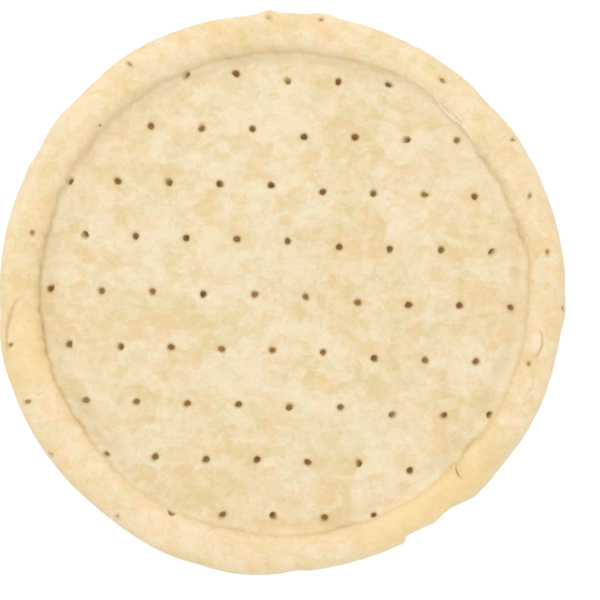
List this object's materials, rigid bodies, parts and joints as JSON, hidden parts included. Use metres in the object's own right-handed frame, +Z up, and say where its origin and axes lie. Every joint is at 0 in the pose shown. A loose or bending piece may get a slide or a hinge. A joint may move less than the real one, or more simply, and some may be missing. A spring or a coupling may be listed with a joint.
{
  "type": "pizza crust",
  "caption": "Round, pale pizza crust with a rolled rim and a flat base docked with small holes, lying flat and untopped.",
  "frame": {"origin": "on the flat underside, at the middle of the crust's box seen from above", "axes": "+Z up out of the topped side; +X to the right and +Y away from the viewer, as the picture shows the crust from above"},
  "size_m": [0.3058, 0.305, 0.0163],
  "materials": {
    "dough": null
  },
  "bodies": {
    "root": {"crust": "dough"}
  },
  "joints": []
}
